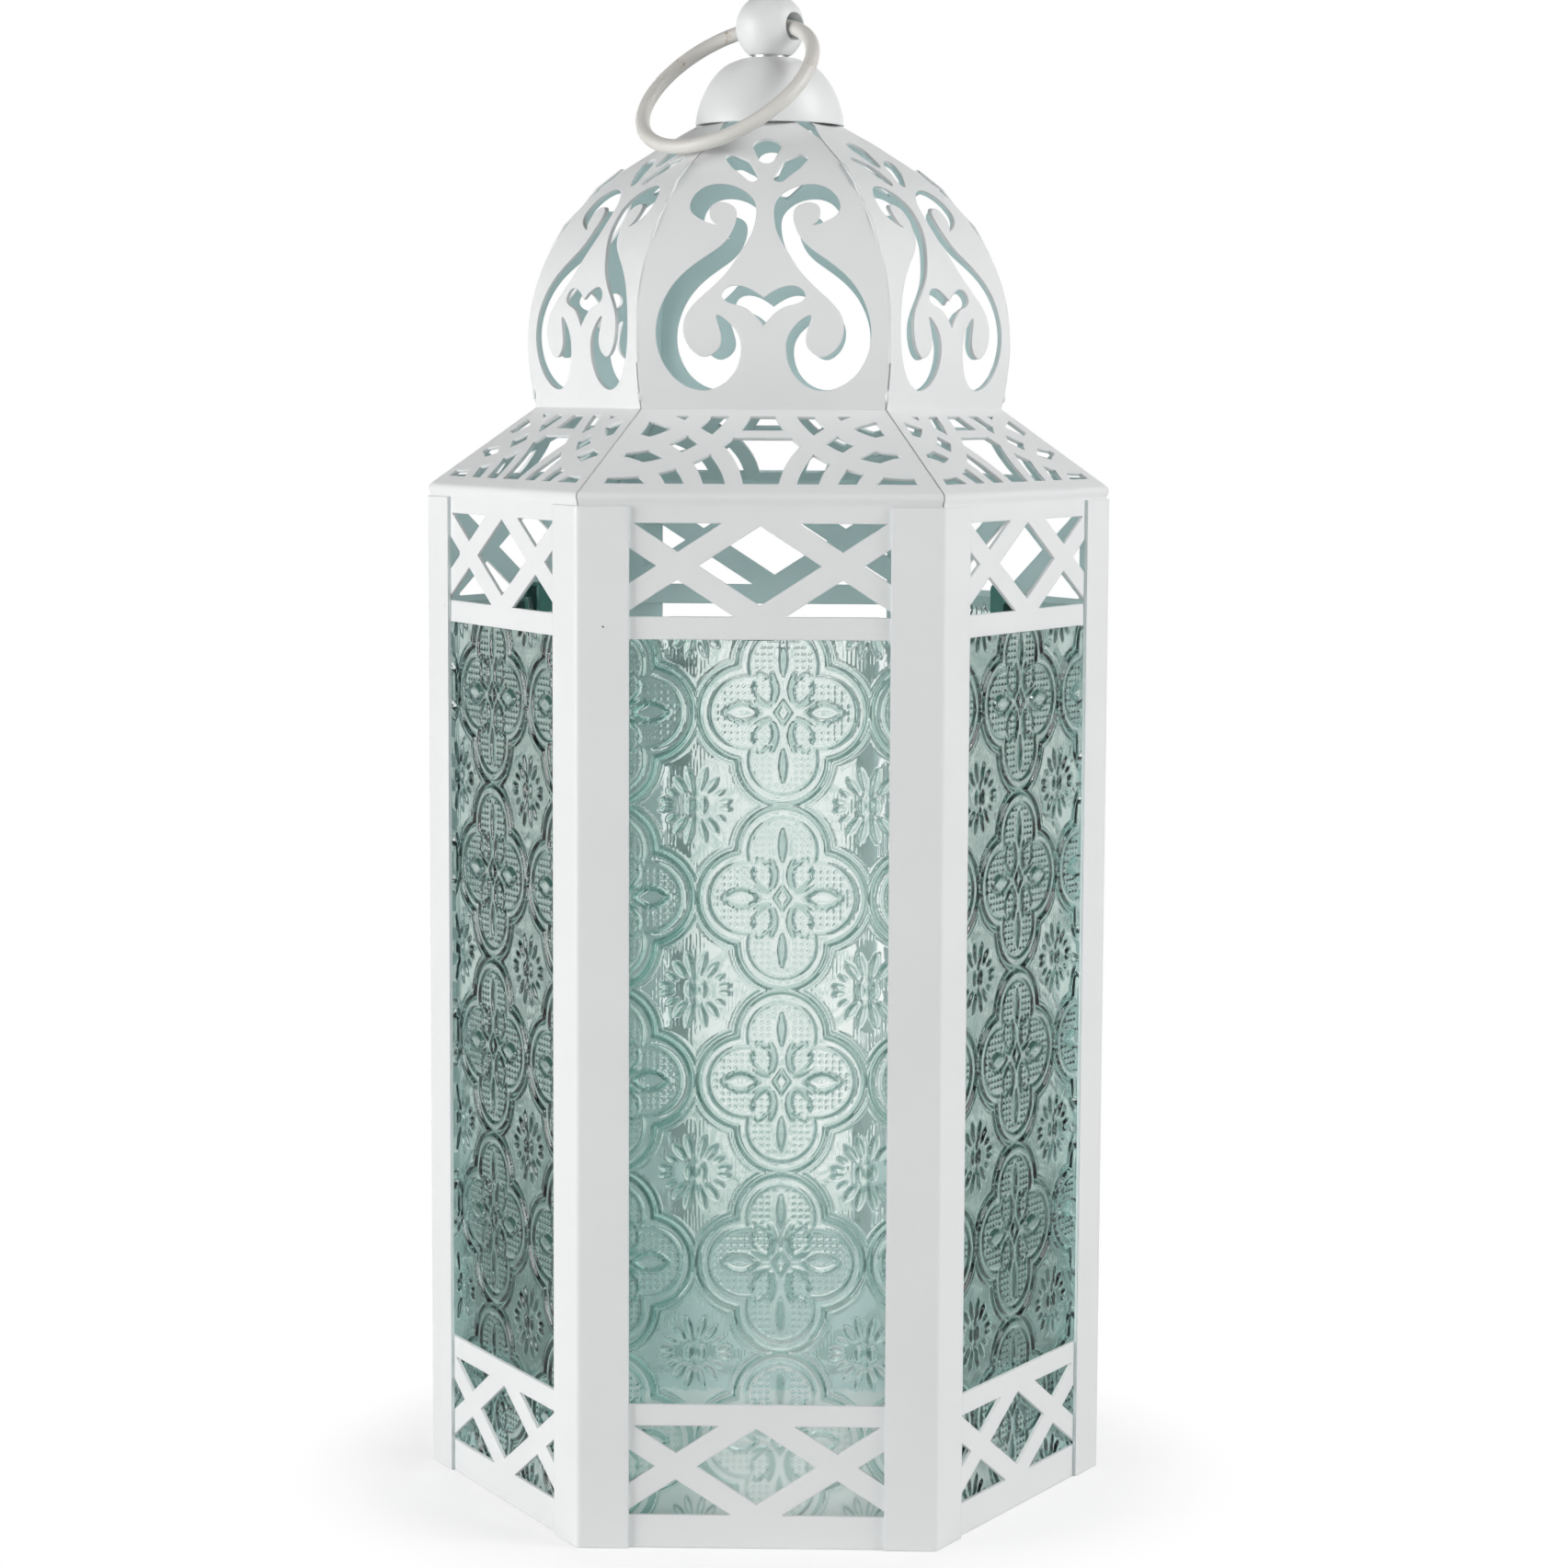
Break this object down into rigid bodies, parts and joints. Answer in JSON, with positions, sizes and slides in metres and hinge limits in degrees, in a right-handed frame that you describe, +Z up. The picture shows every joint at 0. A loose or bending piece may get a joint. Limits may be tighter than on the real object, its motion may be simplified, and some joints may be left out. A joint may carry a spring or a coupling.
{
  "type": "candle lantern",
  "caption": "Tall hexagonal metal candle lantern with pressed-glass windows, crossed-bar bands, a pierced domed roof, a hinged back door and a swinging ring handle.",
  "frame": {"origin": "middle of the underside, on the axis of the hexagon", "axes": "+Z up through the ring handle's bead; -Y is the front face, and +Y the face with the door"},
  "size_m": [0.1644, 0.1466, 0.3567],
  "materials": {
    "white_paint": "satin white powder coat with small chips and specks",
    "ring_paint": "cream-white paint, worn brown where it rubs",
    "clip_enamel": "dark green enamel",
    "window_glass": "pale sea-green glass pressed with a relief of medallions and flowers",
    "zinc_hardware": "dull zinc plate"
  },
  "bodies": {
    "lantern_body": {"base_pan": "white_paint", "glass_stop_ring": "white_paint", "corner_post_right": "white_paint", "corner_post_back_right": "white_paint", "corner_post_back_left": "white_paint", "corner_post_left": "white_paint", "corner_post_front_left": "white_paint", "corner_post_front_right": "white_paint", "roof_petal_front": "white_paint", "roof_petal_front_right": "white_paint", "roof_petal_back_right": "white_paint", "roof_petal_back": "white_paint", "roof_petal_back_left": "white_paint", "roof_petal_front_left": "white_paint", "lower_panel_front": "white_paint", "lower_panel_front_right": "white_paint", "lower_panel_back_right": "white_paint", "lower_panel_back": "white_paint", "lower_panel_back_left": "white_paint", "lower_panel_front_left": "white_paint", "window_pane_front": "window_glass", "window_pane_front_right": "window_glass", "window_pane_back_right": "window_glass", "window_pane_back_left": "window_glass", "window_pane_front_left": "window_glass", "window_clip_front": "clip_enamel", "window_clip_front_right": "clip_enamel", "window_clip_back_right": "clip_enamel", "window_clip_back_left": "clip_enamel", "window_clip_front_left": "clip_enamel", "door_stops": "white_paint", "post_hinge_leaf_lower": "white_paint", "post_hinge_leaf_upper": "white_paint", "hinge_pin_lower": "zinc_hardware", "hinge_pin_upper": "zinc_hardware", "latch_rivet": "zinc_hardware", "roof_cap": "white_paint", "crown_plate": "white_paint", "finial_collar": "zinc_hardware", "finial_bead": "white_paint", "finial_stud": "zinc_hardware", "stud_washer": "zinc_hardware", "stud_nut": "zinc_hardware"},
    "door": {"door_panel": "white_paint", "door_pane": "window_glass", "door_clips": "white_paint", "door_hinge_leaf_lower": "white_paint", "door_hinge_leaf_upper": "white_paint"},
    "latch": {"latch": "white_paint"},
    "ring": {"ring_handle": "ring_paint"}
  },
  "joints": [
    {"name": "door_hinge", "type": "hinge", "parent": "lantern_body", "child": "door", "pos_m": [-0.02835, 0.07345, 0.12], "axis": [0, 0, 1], "range_deg": [0, 120]},
    {"name": "latch_turn", "type": "hinge", "parent": "lantern_body", "child": "latch", "pos_m": [0.03525, 0.0722, 0.12065], "axis": [0, 1, 0], "range_deg": [0, 90]},
    {"name": "ring_swing", "type": "hinge", "parent": "lantern_body", "child": "ring", "pos_m": [0, 0, 0.3502], "axis": [-0.788, 0.6157, 0], "range_deg": [0, 265]}
  ]
}
